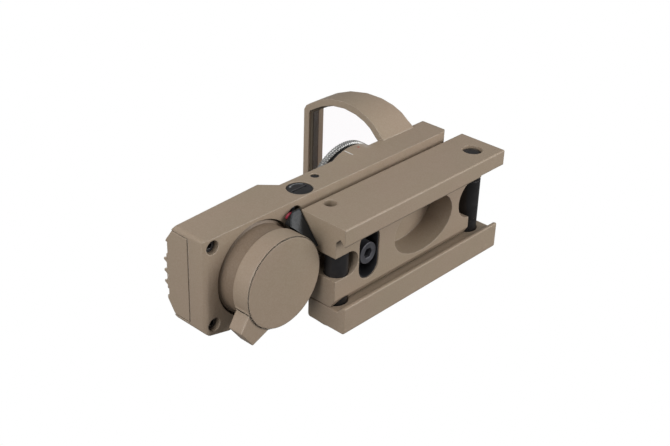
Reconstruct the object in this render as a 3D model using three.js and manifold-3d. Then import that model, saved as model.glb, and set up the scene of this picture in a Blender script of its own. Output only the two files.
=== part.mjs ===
// Open reflex red dot sight on a cross-bolt rail mount, modelled standing upright.
// Millimetres. +X looks at the target, +Y is the shooter's left, +Z is up.
// While it is drawn, the underside of the body bar is z = 0 and its rear face is x = 0.
import * as THREE from 'three';
import { ConvexGeometry } from 'three/addons/geometries/ConvexGeometry.js';
import { mergeVertices } from 'three/addons/utils/BufferGeometryUtils.js';
import Module from 'manifold-3d';

const wasm = await Module();
wasm.setup();

// Body bar
const BAR_LENGTH = 86;
const BAR_HALF_WIDTH = 12.45;
const BAR_HEIGHT = 8.2;
const BAR_BULGE = 13.9;
const REAR_FILLET = 1.4;
const FRONT_FILLET = 2.5;

// Emitter housing at the rear of the bar
const HOUSING_LENGTH = 26;
const HOUSING_TOP = 13.3;
const HOUSING_SEAM = 5.35;
const LID_THICKNESS = 1.2;
const POCKET_FLOOR = 4.4;

// Lens hood
const HOOD_REAR = 68;
const HOOD_FRONT = 80;
const HOOD_TOP = 36;
const HOOD_WALL = 1.85;
const LENS_SLOPE = 0.23;
const HOOD_PROFILE = [
  [12.6, 7.2],
  [13.9, 8.9],
  [15.8, 10.9],
  [17.3, 13.5],
  [18.4, 16.9],
  [18.85, 21.3],
  [18.2, 26.2],
  [16.7, 30.2],
  [14.7, 33.6],
  [13.6, 35.2],
  [12.2, HOOD_TOP],
];

// Brightness wheel
const WHEEL_X = 58.9;
const WHEEL_RADIUS = 12.95;
const WHEEL_BOTTOM = 11.7;
const WHEEL_TOP = 13.5;
const WHEEL_TEETH = 84;
const BOSS_RADIUS = 12.9;
const BOSS_TOP = 10.3;
const BOARD_POCKET_RADIUS = 10.2;
const BOARD_POCKET_FLOOR = 4.6;

// Battery compartment
const DRUM_X = 16;
const DRUM_Y = 0.7;
const RECESS_RADIUS = 12.15;
const RECESS_DEPTH = 2.6;
const DRUM_RADIUS = 11;
const CELL_RADIUS = 10;
const CELL_THICKNESS = 3.2;
const CAP_RADIUS = 11.55;
const CAP_TOP = -4.2;
const CAP_FACE = -9.3;

// Windage and elevation adjusters
const WINDAGE_X = 33.6;
const WINDAGE_Z = 3.8;
const ADJUSTER_RADIUS = 3.2;
const ELEVATION_X = 18;
const LOCK_SCREW_RADIUS = 1.1;
const LID_SCREWS = [[22.4, -5.6], [22.4, 5.6]];

// Supply lead beside the battery drum
const LEAD_X = 28.1;
const LEAD_Y = -8.4;
const LEAD_BORE = 2.65;

// Rail mount
const MOUNT_REAR = 28.8;
const MOUNT_FRONT = 90;
const MOUNT_RIGHT = -10.5;
const MOUNT_LEFT = 12;
const MOUNT_TOP_EDGE = -1.6;
const DECK_Z = -12.9;
const LIP_BOTTOM = -15.65;
const LIP_TIP_Y = -6;
const SLAB_FRONT = 80.5;

// Clamp jaw and its cross bolts
const JAW_TIP_Y = 10.5;
const JAW_OUTER = 17.9;
const JAW_TOP = -4.3;
const JAW_BOTTOM = -16.4;
const JAW_GAP = 0.3;
const BOLT_Z = -9.6;
const THREAD_RADIUS = 2.35;
const THREAD_HOLE_RADIUS = 2.7;
const SHANK_RADIUS = 2.9;
const SHANK_HOLE_RADIUS = 3.05;
const BOLT_XS = [32.7, 84.1];
const BOLT_HEADS = [3.5, 4];

const TAN = 0x93866f;
const DARK_TAN = 0x8c7f69;
const BLACK = 0x17171a;
const STEEL = 0x9a9a9c;

function toSolid(geometry) {
  const bare = geometry.clone();
  bare.deleteAttribute('normal');
  bare.deleteAttribute('uv');
  const welded = mergeVertices(bare, 1e-4);
  const mesh = new wasm.Mesh({
    numProp: 3,
    vertProperties: new Float32Array(welded.attributes.position.array),
    triVerts: new Uint32Array(welded.index.array),
  });
  return new wasm.Manifold(mesh);
}

function toGeometry(solid) {
  const mesh = solid.getMesh();
  const geometry = new THREE.BufferGeometry();
  geometry.setAttribute('position', new THREE.BufferAttribute(new Float32Array(mesh.vertProperties), 3));
  geometry.setIndex(new THREE.BufferAttribute(new Uint32Array(mesh.triVerts), 1));
  geometry.computeVertexNormals();
  return geometry;
}

function cut(solid, tools) {
  return tools.reduce((rest, tool) => rest.subtract(tool), solid);
}

function join(solids) {
  return solids.reduce((whole, piece) => whole.add(piece));
}

function box(x0, x1, y0, y1, z0, z1) {
  const geometry = new THREE.BoxGeometry(x1 - x0, y1 - y0, z1 - z0);
  geometry.translate((x0 + x1) / 2, (y0 + y1) / 2, (z0 + z1) / 2);
  return toSolid(geometry);
}

// Round bar along 'x', 'y' or 'z' from a to b through (u, v) in the other two axes.
function rod(axis, radius, a, b, u, v, sides = 48) {
  const geometry = new THREE.CylinderGeometry(radius, radius, b - a, sides);
  const middle = (a + b) / 2;
  if (axis === 'z') {
    geometry.rotateX(Math.PI / 2);
    geometry.translate(u, v, middle);
  } else if (axis === 'x') {
    geometry.rotateZ(-Math.PI / 2);
    geometry.translate(middle, u, v);
  } else {
    geometry.translate(u, middle, v);
  }
  return toSolid(geometry);
}

function tube(axis, outer, inner, a, b, u, v, sides = 48) {
  return rod(axis, outer, a, b, u, v, sides).subtract(rod(axis, inner, a - 1, b + 1, u, v, sides));
}

// Flat outline pushed along one axis: outline points are the other two axes in order.
function prism(axis, points, a, b, holes = []) {
  const shape = new THREE.Shape(points.map(([u, v]) => new THREE.Vector2(u, v)));
  for (const hole of holes) {
    shape.holes.push(new THREE.Path(hole.map(([u, v]) => new THREE.Vector2(u, v))));
  }
  const geometry = new THREE.ExtrudeGeometry(shape, { depth: b - a, bevelEnabled: false });
  if (axis === 'z') {
    geometry.translate(0, 0, a);
  } else if (axis === 'x') {
    geometry.rotateX(Math.PI / 2);
    geometry.rotateZ(Math.PI / 2);
    geometry.translate(a, 0, 0);
  } else {
    geometry.rotateX(Math.PI / 2);
    geometry.translate(0, b, 0);
  }
  return toSolid(geometry);
}

function arc(cx, cy, radius, from, to, steps) {
  const points = [];
  for (let i = 0; i <= steps; i += 1) {
    const angle = ((from + ((to - from) * i) / steps) * Math.PI) / 180;
    points.push([cx + radius * Math.cos(angle), cy + radius * Math.sin(angle)]);
  }
  return points;
}

// Obround outline with its long side across the bar (along Y).
function obround(cx, cy, halfWidth, halfLength, steps = 12) {
  const reach = halfLength - halfWidth;
  return [
    ...arc(cx, cy + reach, halfWidth, 0, 180, steps),
    ...arc(cx, cy - reach, halfWidth, 180, 360, steps),
  ];
}

// Turned part about the Z line through (x, y): profile is [radius, z] from axis to axis.
function turned(profile, x, y, sides = 48) {
  const points = profile.map(([r, z]) => new THREE.Vector2(r, z));
  const geometry = new THREE.LatheGeometry(points, sides);
  geometry.rotateX(Math.PI / 2);
  geometry.translate(x, y, 0);
  return geometry;
}

const group = new THREE.Group();

function add(name, part, colour, roughness, metalness) {
  const geometry = part.isBufferGeometry ? part : toGeometry(part);
  const material = new THREE.MeshStandardMaterial({ color: colour, roughness, metalness });
  const mesh = new THREE.Mesh(geometry, material);
  mesh.name = name;
  group.add(mesh);
}

// Outline of the hood across the sight, moved inward by an amount.
function hoodOutline(inset) {
  const right = [];
  for (let i = 0; i < HOOD_PROFILE.length; i += 1) {
    const [y0, z0] = HOOD_PROFILE[Math.max(i - 1, 0)];
    const [y1, z1] = HOOD_PROFILE[Math.min(i + 1, HOOD_PROFILE.length - 1)];
    const length = Math.hypot(y1 - y0, z1 - z0);
    const last = i === HOOD_PROFILE.length - 1;
    const ny = last ? -0.42 : -(z1 - z0) / length;
    const nz = last ? -1 : (y1 - y0) / length;
    right.push([HOOD_PROFILE[i][0] + ny * inset, HOOD_PROFILE[i][1] + nz * inset]);
  }
  const left = right.map(([y, z]) => [-y, z]).reverse();
  return [...right, ...left];
}

// Slab leaning back with the lens: everything between two slanted faces.
function leaningSlab(front, thickness) {
  const lean = (z) => front - LENS_SLOPE * (z - BAR_HEIGHT);
  const low = 0;
  const high = HOOD_TOP + 6;
  return prism('y', [
    [lean(low) - thickness, low],
    [lean(low), low],
    [lean(high), high],
    [lean(high) - thickness, high],
  ], -30, 30);
}

function makeBody() {
  const plan = [
    ...arc(1, -BAR_HALF_WIDTH + 1, 1, 180, 270, 4),
    ...arc(BAR_LENGTH - 1, -BAR_HALF_WIDTH + 1, 1, 270, 360, 4),
    ...arc(BAR_LENGTH - 1, BAR_HALF_WIDTH - 1, 1, 0, 90, 4),
    [35, BAR_HALF_WIDTH],
    [29, BAR_BULGE],
    [7, BAR_BULGE],
    ...arc(1.6, BAR_HALF_WIDTH - 1.4, 1.6, 100, 180, 4),
  ];
  const side = [
    ...arc(REAR_FILLET, REAR_FILLET, REAR_FILLET, 180, 270, 5),
    ...arc(BAR_LENGTH - FRONT_FILLET, FRONT_FILLET, FRONT_FILLET, 270, 360, 5),
    [BAR_LENGTH, BAR_HEIGHT - 0.8],
    [BAR_LENGTH - 0.8, BAR_HEIGHT],
    [HOUSING_LENGTH + HOUSING_TOP - BAR_HEIGHT, BAR_HEIGHT],
    [HOUSING_LENGTH, HOUSING_TOP],
    [0, HOUSING_TOP],
  ];
  const bar = prism('z', plan, -1, 20).intersect(prism('y', side, -20, 20));
  // The housing shoulders are chamfered, wide at the rear and fading to nothing in front.
  const shoulder = (s) => toSolid(new ConvexGeometry([
    new THREE.Vector3(-1, s * 12.45, 10),
    new THREE.Vector3(-1, s * 7.8, 13.3),
    new THREE.Vector3(-1, s * 15, 10),
    new THREE.Vector3(-1, s * 15, 15),
    new THREE.Vector3(-1, s * 7.8, 15),
    new THREE.Vector3(27.5, s * 12.45, 11.9),
    new THREE.Vector3(27.5, s * 10.48, 13.3),
    new THREE.Vector3(27.5, s * 15, 11.9),
    new THREE.Vector3(27.5, s * 15, 15),
    new THREE.Vector3(27.5, s * 10.48, 15),
  ]));
  const hood = prism('x', hoodOutline(0), HOOD_REAR, HOOD_FRONT)
    .subtract(prism('x', hoodOutline(HOOD_WALL), HOOD_REAR - 1, HOOD_FRONT + 1))
    .subtract(leaningSlab(HOOD_FRONT + 20, 20));
  const boss = toSolid(turned([
    [0, 3],
    [BAR_HALF_WIDTH, 3],
    [BOSS_RADIUS, 7],
    [BOSS_RADIUS, BOSS_TOP],
    [0, BOSS_TOP],
  ], WHEEL_X, 0, 72));
  const shell = cut(bar, [shoulder(-1), shoulder(1)]);
  const whole = join([shell, hood, boss]);
  return cut(whole, [
    // battery recess and the wire exit beside it
    rod('z', RECESS_RADIUS, -1, RECESS_DEPTH, DRUM_X, DRUM_Y, 64),
    rod('z', LEAD_BORE, -1, 5.2, LEAD_X, LEAD_Y, 32),
    // emitter pocket with its two screw posts, adjuster tunnel and the window in the front slope
    cut(box(3.2, 24.2, -7, 7, POCKET_FLOOR, HOUSING_TOP - LID_THICKNESS), LID_SCREWS.map(([x, y]) => (
      rod('z', 1.9, 0, 20, x, y, 24)
    ))),
    box(1.6, 25, -7.6, 7.6, HOUSING_TOP - LID_THICKNESS - 0.01, HOUSING_TOP + 1),
    box(20, 38, -7.2, 7.2, 2.9, 6.7),
    box(23, 34, -3.4, 3.4, 8.5, 10.6),
    // selector slot across the rear
    box(-1, 3.21, -11.25, 11.25, HOUSING_SEAM, HOUSING_TOP + 1),
    // housing screw bores
    rod('z', 1.75, -1, 3.4, 2.6, -10.2, 24),
    rod('z', 1.75, -1, 3.4, 2.6, 10.2, 24),
    // bore for the click ball under the selector
    rod('z', 0.85, 3.1, 6, 2.55, 0, 16),
    // brightness board pocket and axle hole
    rod('z', BOARD_POCKET_RADIUS, BOARD_POCKET_FLOOR, BOSS_TOP + 1, WHEEL_X, 0, 48),
    box(36, 50, -2, 2, BOARD_POCKET_FLOOR, 6.2),
    // windage, elevation and their lock screws
    rod('y', ADJUSTER_RADIUS + 0.15, -14, -10.9, WINDAGE_X, WINDAGE_Z, 40),
    rod('y', 1.7, -12, -5, WINDAGE_X, WINDAGE_Z, 24),
    rod('z', LOCK_SCREW_RADIUS + 0.1, 5.4, 9, WINDAGE_X, -9.6, 16),
    rod('y', LOCK_SCREW_RADIUS + 0.1, -14, -8.5, 40.9, 5.8, 16),
    // mount screw threads
    rod('z', 2.3, -1, 4.2, 41, 1.8, 24),
    rod('z', 1.6, -1, 4.2, 70, 1.4, 24),
    // recess that holds the glass gasket
    prism('x', hoodOutline(HOOD_WALL - 0.7), 60, 90)
      .intersect(leaningSlab(HOOD_FRONT - 2.6, 2.7))
      .intersect(box(60, 90, -25, 25, 9.4, 40)),
  ]);
}

const bodyParts = makeBody().decompose();
bodyParts.sort((a, b) => b.volume() - a.volume());
add('main_body', bodyParts[0], TAN, 0.55, 0.2);

// Glass: a leaning plate held by a thin gasket let into the hood wall.
const lensSpace = prism('x', hoodOutline(HOOD_WALL - 0.65), 60, 90)
  .intersect(box(60, 90, -25, 25, 9.5, 40))
  .intersect(leaningSlab(HOOD_FRONT - 2.65, 2.6));
const glassOutline = prism('x', hoodOutline(HOOD_WALL + 0.7), 60, 90)
  .intersect(box(60, 90, -25, 25, 10.9, 40));
const glassSlab = leaningSlab(HOOD_FRONT - 3.0, 1.9);
add('reflex_lens', glassOutline.intersect(glassSlab), 0xc8b8d8, 0.05, 0);
const glassRoom = prism('x', hoodOutline(HOOD_WALL + 0.65), 60, 90)
  .intersect(box(60, 90, -25, 25, 10.85, 40));
add('lens_gasket', lensSpace.subtract(glassRoom), 0x4a4033, 0.8, 0);

// Housing lid and its two small screws.
const lid = cut(box(3.3, 24.9, -7.5, 7.5, HOUSING_TOP - LID_THICKNESS + 0.02, HOUSING_TOP - 0.02), [
  rod('z', ADJUSTER_RADIUS + 0.15, HOUSING_TOP - 0.7, 15, ELEVATION_X, 0, 40),
  rod('z', 1.7, 9, 15, ELEVATION_X, 0, 24),
  ...LID_SCREWS.map(([x, y]) => rod('z', 1.15, 10, 15, x, y, 20)),
]);
add('housing_lid', lid, TAN, 0.6, 0.15);
LID_SCREWS.forEach(([x, y], i) => {
  const head = rod('z', 1.05, HOUSING_TOP - 1.1, HOUSING_TOP - 0.05, x, y, 24)
    .subtract(box(x - 2, x + 2, y - 0.2, y + 0.2, HOUSING_TOP - 0.4, 15));
  add(`lid_screw_${i + 1}`, head, BLACK, 0.4, 0.7);
});

// Rear cover: plate let in between the side walls, grooved along its top for the selector.
const cover = cut(box(0.02, 2, -11, 11, HOUSING_SEAM + 0.4, HOUSING_TOP - 0.05), [
  prism('x', [[-14, 8.9], [-12.4, 9.98], [-7.8, HOUSING_TOP - 0.05], [-7.8, 15], [-14, 15]], -1, 4),
  prism('x', [[14, 8.9], [12.4, 9.98], [7.8, HOUSING_TOP - 0.05], [7.8, 15], [14, 15]], -1, 4),
  box(-1, 4, -7.4, 6.9, HOUSING_TOP - 0.55, 15),
]);
add('rear_cover', cover, TAN, 0.55, 0.2);

// Reticle selector: ribbed thumb slide whose leg carries the four-pattern mask strip.
const thumbPad = box(0.1, 2.9, -4.2, 5.2, HOUSING_TOP - 0.5, HOUSING_TOP - 0.05);
const ribs = [-2.5, 0.5, 3.5].map((y) => (
  prism('x', [[y - 0.8, 13.1], [y + 0.8, 13.1], [y + 0.25, 14.2], [y - 0.25, 14.2]], 0.1, 2.6)
));
const leg = box(2.15, 2.95, -1.2, 1.2, 5.7, HOUSING_TOP - 0.3);
const arm = box(2.6, 6.6, -1, 1, 9.9, 10.7);
add('reticle_selector', join([thumbPad, ...ribs, leg, arm]), TAN, 0.55, 0.2);
const strip = cut(box(6.65, 7.15, -3.1, 4.6, 6.6, 10.7), [-1.5, 0, 1.5, 3].map((y) => (
  rod('x', 0.35, 6, 8, y, 8.2, 12)
)));
add('reticle_strip', strip, 0x2a2a2c, 0.4, 0.3);

// Click ball and spring under the selector.
const ball = new THREE.SphereGeometry(0.7, 16, 10);
ball.translate(2.55, 0, 4.85);
add('click_ball', mergeVertices(ball.deleteAttribute('uv').deleteAttribute('normal')), STEEL, 0.25, 0.9);

// Coil centreline, round or tapering, rising from z0 to z1.
class Coil extends THREE.Curve {
  constructor(x, y, z0, z1, radius0, radius1, turns) {
    super();
    this.place = { x, y, z0, z1, radius0, radius1, turns };
  }

  getPoint(t) {
    const { x, y, z0, z1, radius0, radius1, turns } = this.place;
    const angle = t * turns * Math.PI * 2;
    const radius = radius0 + (radius1 - radius0) * t;
    return new THREE.Vector3(x + radius * Math.cos(angle), y + radius * Math.sin(angle), z0 + (z1 - z0) * t);
  }
}

function wireAlong(curve, radius, steps, sides) {
  const circle = new THREE.Shape(arc(0, 0, radius, 0, 360 - 360 / sides, sides - 1)
    .map(([u, v]) => new THREE.Vector2(u, v)));
  const geometry = new THREE.ExtrudeGeometry(circle, { steps, extrudePath: curve });
  return toSolid(geometry);
}

const clickSpring = wireAlong(new Coil(2.55, 0, 3.3, 3.95, 0.5, 0.5, 3), 0.12, 30, 5);
add('click_spring', clickSpring, STEEL, 0.3, 0.9);

// Adjusters: slotted dials with a shaft; the carriage they push carries the emitter.
function adjuster(axis, from, to, tip, u, v) {
  const outward = to > from ? 1 : -1;
  const low = Math.min(from, to);
  const high = Math.max(from, to);
  const dial = rod(axis, ADJUSTER_RADIUS, low, high, u, v, 40);
  const shaft = rod(axis, 1.3, Math.min(tip, from + outward * 0.1), Math.max(tip, from + outward * 0.1), u, v, 24);
  const face = to - outward * 0.45;
  const slotLow = Math.min(face, to + outward);
  const slotHigh = Math.max(face, to + outward);
  const slot = axis === 'y'
    ? box(u - 2.4, u + 2.4, slotLow, slotHigh, v - 0.35, v + 0.35)
    : box(u - 2.4, u + 2.4, v - 0.35, v + 0.35, slotLow, slotHigh);
  return join([dial, shaft]).subtract(slot);
}
add('windage_screw', adjuster('y', -11, -12.3, -5.6, WINDAGE_X, WINDAGE_Z), BLACK, 0.45, 0.4);
add('elevation_screw', adjuster('z', HOUSING_TOP - 0.55, HOUSING_TOP + 0.2, 10.3, ELEVATION_X, 0), BLACK, 0.45, 0.4);
const windageLock = rod('y', LOCK_SCREW_RADIUS, -12.2, -9, 40.9, 5.8, 16);
add('windage_lock_screw', windageLock, BLACK, 0.5, 0.6);
add('elevation_lock_screw', rod('z', LOCK_SCREW_RADIUS, 5.8, 8, WINDAGE_X, -9.6, 16), BLACK, 0.5, 0.6);

const carriage = cut(box(11, 37, -4.4, 4.4, 4.75, 6.2), [rod('z', 0.9, 4, 7, 35, 0, 16)]);
add('windage_carriage', carriage, 0x8f9092, 0.4, 0.8);
const emitter = cut(box(13, 20.2, -3.4, 3.4, 6.4, 9.5), [rod('x', 1.35, 16.2, 23, 0, 8.2, 24)]);
add('emitter_block', emitter, 0x2a2a2d, 0.6, 0);
const led = join([
  rod('x', 1.15, 16.9, 20.9, 0, 8.2, 20),
  rod('x', 1.6, 20.3, 20.9, 0, 8.2, 20),
]);
add('led_emitter', led, 0xc03030, 0.2, 0);

// Brightness wheel: knurled ring, printed cap, axle, wiper and board.
function knurledOutline(radius, depth, teeth) {
  const points = [];
  for (let i = 0; i < teeth * 2; i += 1) {
    const angle = (i * Math.PI) / teeth;
    const r = i % 2 === 0 ? radius : radius - depth;
    points.push([r * Math.cos(angle) + WHEEL_X, r * Math.sin(angle)]);
  }
  return points;
}
const wheelHole = arc(WHEEL_X, 0, 9.6, 0, 345, 23);
const wheel = prism('z', knurledOutline(WHEEL_RADIUS, 0.35, WHEEL_TEETH), WHEEL_BOTTOM, WHEEL_TOP, [wheelHole]);
add('brightness_wheel', wheel, 0xa8a8aa, 0.35, 0.8);
const capDisc = cut(join([
  rod('z', 9.3, WHEEL_BOTTOM - 1, WHEEL_TOP - 0.3, WHEEL_X, 0, 48),
  rod('z', 11.4, WHEEL_TOP + 0.05, WHEEL_TOP + 0.9, WHEEL_X, 0, 48),
  rod('z', 9.3, WHEEL_TOP - 0.4, WHEEL_TOP + 0.1, WHEEL_X, 0, 48),
]), [rod('z', 2.6, WHEEL_TOP - 0.2, 20, WHEEL_X, 0, 24), rod('z', 1.6, 5, 20, WHEEL_X, 0, 24)]);
add('wheel_cap', capDisc, TAN, 0.55, 0.2);
const axle = join([
  rod('z', 1.3, BOARD_POCKET_FLOOR + 0.05, WHEEL_TOP, WHEEL_X, 0, 20),
  rod('z', 2.4, WHEEL_TOP - 0.15, WHEEL_TOP + 0.75, WHEEL_X, 0, 28),
]).subtract(box(WHEEL_X - 3, WHEEL_X + 3, -0.25, 0.25, WHEEL_TOP + 0.35, 16));
add('wheel_axle', axle, STEEL, 0.3, 0.9);
const wiper = join([
  tube('z', 3, 1.7, 9.6, 10, WHEEL_X, 0, 24),
  box(WHEEL_X - 8.4, WHEEL_X - 2.4, -0.9, 0.9, 9.6, 10),
]);
add('wheel_wiper', wiper, 0xc2a35a, 0.35, 0.9);
const board = tube('z', 9.9, 1.7, 5, 6.2, WHEEL_X, 0, 40);
add('circuit_board', board, 0x1f5a38, 0.5, 0);

// Battery compartment, from the body outward (downward).
const drumProfile = [
  [0, 2.5],
  [11.7, 2.5],
  [11.7, 0.6],
  [DRUM_RADIUS, 0.4],
  [DRUM_RADIUS, CAP_TOP + 0.1],
  [CELL_RADIUS + 0.3, CAP_TOP + 0.1],
  [CELL_RADIUS + 0.3, 1.4],
  [0, 1.4],
].reverse();
const drum = cut(toSolid(turned(drumProfile, DRUM_X, DRUM_Y, 64)), [
  rod('z', 0.9, 0, 4, DRUM_X - 5, DRUM_Y, 16),
  rod('z', 0.9, 0, 4, DRUM_X + 5, DRUM_Y, 16),
]);
add('battery_drum', drum, DARK_TAN, 0.5, 0.25);
const cell = rod('z', CELL_RADIUS, -3.6, -3.6 + CELL_THICKNESS, DRUM_X, DRUM_Y, 56);
add('coin_cell', cell, 0xb8b9bb, 0.3, 0.9);
const cellSpring = wireAlong(new Coil(DRUM_X, DRUM_Y, -0.12, 1.12, 3.4, 6.4, 3), 0.25, 66, 6);
add('cell_spring', cellSpring, 0xc9b27a, 0.35, 0.9);
const capContact = cut(rod('z', 4, -4.05, -3.7, DRUM_X, DRUM_Y, 32), [
  rod('z', 1.2, -5, -3, DRUM_X, DRUM_Y, 16),
]);
add('cap_contact', capContact, 0xc9b27a, 0.35, 0.9);
add('cap_gasket', tube('z', 10.75, 10.3, -4.9, -4.25, DRUM_X, DRUM_Y, 48), 0x141414, 0.7, 0);

const tabPlan = [[6.5, 3.6], [4.6, 5.7], [2.75, 8.8], [6.3, 13.5], [11, 11.6], [13, 9.5]];
const capProfile = [
  [0, CAP_FACE],
  [CAP_RADIUS - 0.35, CAP_FACE],
  [CAP_RADIUS, CAP_FACE + 0.3],
  [CAP_RADIUS, CAP_TOP],
  [0, CAP_TOP],
];
const cap = join([
  toSolid(turned(capProfile, DRUM_X, DRUM_Y, 72)),
  prism('z', tabPlan, CAP_FACE + 0.5, CAP_TOP - 0.4),
]).subtract(tube('z', 10.95, 9.4, CAP_TOP - 0.85, CAP_TOP + 1, DRUM_X, DRUM_Y, 64));
add('battery_cap', cap, TAN, 0.5, 0.25);

// Supply lead: a rubber boot between drum and mount with its plug in the bore, and a red wire.
const bootPlan = [
  [28.5, -3.5],
  ...arc(DRUM_X, DRUM_Y, RECESS_RADIUS - 0.25, -20.5, -50.5, 6),
  [24.3, -9.6],
  [26, -10.9],
  [28.5, -10.9],
].reverse();
const bootSpace = box(20, 28.5, -12, 0, -10, 10);
const plug = rod('z', LEAD_BORE - 0.1, 0.2, 4.8, LEAD_X, LEAD_Y, 32);
const neck = rod('z', 1, -2, 1, 27.2, -7.4, 20);
const bootSlope = prism('x', [[-10.9, -1.4], [-10.9, -12], [-2, -12], [-2, -9]], 20, 30);
const boot = cut(join([prism('z', bootPlan, -8.8, -1.2), plug, neck]), [bootSlope]).intersect(bootSpace);
add('lead_boot', boot, 0x101418, 0.2, 0);
const wirePath = new THREE.CatmullRomCurve3([
  new THREE.Vector3(24.7, -9.3, -0.75),
  new THREE.Vector3(25.6, -10, -0.7),
  new THREE.Vector3(27, -9.8, -0.6),
  new THREE.Vector3(28.3, -9.2, -0.55),
]);
add('supply_wire', wireAlong(wirePath, 0.42, 14, 8), 0xa02038, 0.4, 0);

// Rail mount: a deep slab under the bar with the fixed lip on the right.
const vApexDrop = 1.25;
const mountProfile = [
  [MOUNT_RIGHT, MOUNT_TOP_EDGE],
  [MOUNT_RIGHT, LIP_BOTTOM + 0.25],
  [MOUNT_RIGHT + 0.25, LIP_BOTTOM],
  [LIP_TIP_Y, LIP_BOTTOM],
  [LIP_TIP_Y - 1.5, DECK_Z - vApexDrop],
  [LIP_TIP_Y - 0.25, DECK_Z],
  [9.9, DECK_Z],
  [MOUNT_LEFT, DECK_Z + 1.3],
  [MOUNT_LEFT, MOUNT_TOP_EDGE],
  [9.4, -0.02],
  [-8, -0.02],
  [-9.2, MOUNT_TOP_EDGE],
];
const sideWall = box(MOUNT_REAR, MOUNT_FRONT, -20, -6.4, -30, 1);
const slab = box(MOUNT_REAR, SLAB_FRONT, -7, 20, -30, 1);
const mount = cut(prism('x', mountProfile, MOUNT_REAR, MOUNT_FRONT).intersect(sideWall.add(slab)), [
  // end notches that expose the cross bolts
  rod('z', 3.2, -30, -2.6, 33.6, 1.4, 32),
  box(20, 33.6, -1.8, 4.6, -30, -2.6),
  rod('z', 5.4, -30, -2.6, 81, 1.4, 40),
  // blind lightening pocket and the two screw slots
  prism('z', obround(0, 0, 7.5, 7.51).map(([x, y]) => [61.4 + x * 1.52, 1.4 + y]), -30, DECK_Z + 7.3),
  prism('z', obround(40.7, 1.4, 3.6, 6.9), -30, -8.2),
  rod('z', 2.4, -30, 2, 41, 1.8, 24),
  rod('z', 1.6, -4.8, 2, 70, 1.4, 24),
  // bolt clearance holes and the open threaded hole in the side
  ...BOLT_XS.map((x) => rod('y', THREAD_HOLE_RADIUS, x > 60 ? -20 : -10.15, 0, x, BOLT_Z, 32)),
  ...BOLT_XS.map((x) => rod('y', SHANK_HOLE_RADIUS, -2.7, 20, x, BOLT_Z, 32)),
  rod('y', 1.7, -20, -5.5, 36, -4.1, 24),
]);
add('rail_mount', mount, TAN, 0.5, 0.25);

const jawProfile = [
  [MOUNT_LEFT + JAW_GAP, JAW_TOP],
  [JAW_OUTER - 0.5, JAW_TOP],
  [JAW_OUTER, JAW_TOP - 0.5],
  [JAW_OUTER, JAW_BOTTOM + 0.5],
  [JAW_OUTER - 0.5, JAW_BOTTOM],
  [JAW_TIP_Y, JAW_BOTTOM],
  [JAW_TIP_Y, JAW_BOTTOM + 0.9],
  [MOUNT_LEFT + JAW_GAP, DECK_Z - 1],
];
const headDepth = 3.2;
const jaw = cut(prism('x', jawProfile, MOUNT_REAR, MOUNT_FRONT - 1), [
  ...BOLT_XS.map((x) => rod('y', SHANK_HOLE_RADIUS, 8, 20, x, BOLT_Z, 32)),
  ...BOLT_XS.map((x, i) => rod('y', BOLT_HEADS[i] + 0.1, JAW_OUTER - headDepth, 20, x, BOLT_Z, 40)),
]);
add('clamp_jaw', jaw, TAN, 0.5, 0.25);

// Cross bolt: threaded end in the fixed wall, plain neck, socket head in the jaw.
function crossBolt(x, headRadius) {
  const threads = [];
  for (let i = 0; i < 6; i += 1) {
    const y = -9.3 + i * 0.9;
    threads.push([THREAD_RADIUS - 0.3, y], [THREAD_RADIUS, y + 0.25], [THREAD_RADIUS, y + 0.55]);
  }
  const profile = [
    [0, -9.9],
    [THREAD_RADIUS - 0.4, -9.9],
    ...threads,
    [THREAD_RADIUS - 0.4, -3.8],
    [THREAD_RADIUS - 0.4, -2.6],
    [SHANK_RADIUS, -2.3],
    [SHANK_RADIUS, JAW_OUTER - headDepth + 0.05],
    [headRadius, JAW_OUTER - headDepth + 0.05],
    [headRadius, JAW_OUTER - 0.1],
    [headRadius - 0.4, JAW_OUTER + 0.3],
    [0, JAW_OUTER + 0.3],
  ];
  const geometry = turned(profile, 0, 0, 32);
  geometry.rotateX(-Math.PI / 2);
  geometry.translate(x, 0, BOLT_Z);
  const socket = prism('y', arc(x, BOLT_Z, 2.1, 0, 300, 5), JAW_OUTER - 1.8, JAW_OUTER + 3);
  return toSolid(geometry).subtract(socket);
}
add('rear_clamp_bolt', crossBolt(BOLT_XS[0], BOLT_HEADS[0]), BLACK, 0.35, 0.6);
add('front_clamp_bolt', crossBolt(BOLT_XS[1], BOLT_HEADS[1]), BLACK, 0.35, 0.6);

// Socket head screws that hold the mount up to the bar, and the housing screws.
function socketScrew(x, y, headRadius, headLow, headHigh, shankRadius, tip, colour, name) {
  const socket = prism('z', arc(x, y, headRadius * 0.5, 0, 300, 5), headLow - 1, headLow + (headHigh - headLow) * 0.6);
  const screw = join([
    rod('z', headRadius, headLow, headHigh, x, y, 32),
    rod('z', shankRadius, headHigh - 0.2, tip, x, y, 24),
  ]).subtract(socket);
  add(name, screw, colour, 0.4, 0.8);
}
const liner = cut(prism('z', obround(40.7, 1.4, 3.5, 6.8), -12.6, -8.25), [
  prism('z', obround(40.7, 1.4, 3.2, 6.5), -14, -8.75),
  rod('z', 2.3, -10, -5, 41, 1.8, 24),
]);
add('slot_liner', liner, BLACK, 0.6, 0.1);
socketScrew(41, 1.8, 2.85, -12.3, -8.8, 2.1, 3.6, 0x85858c, 'mount_screw');
add('mount_dowel', rod('z', 1.5, -4.6, 3.8, 70, 1.4, 24), STEEL, 0.3, 0.9);
socketScrew(2.6, -10.2, 1.55, 1.2, 2.6, 1.2, 3.3, BLACK, 'housing_screw_right');
socketScrew(2.6, 10.2, 1.55, 1.2, 2.6, 1.2, 3.3, BLACK, 'housing_screw_left');

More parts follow.
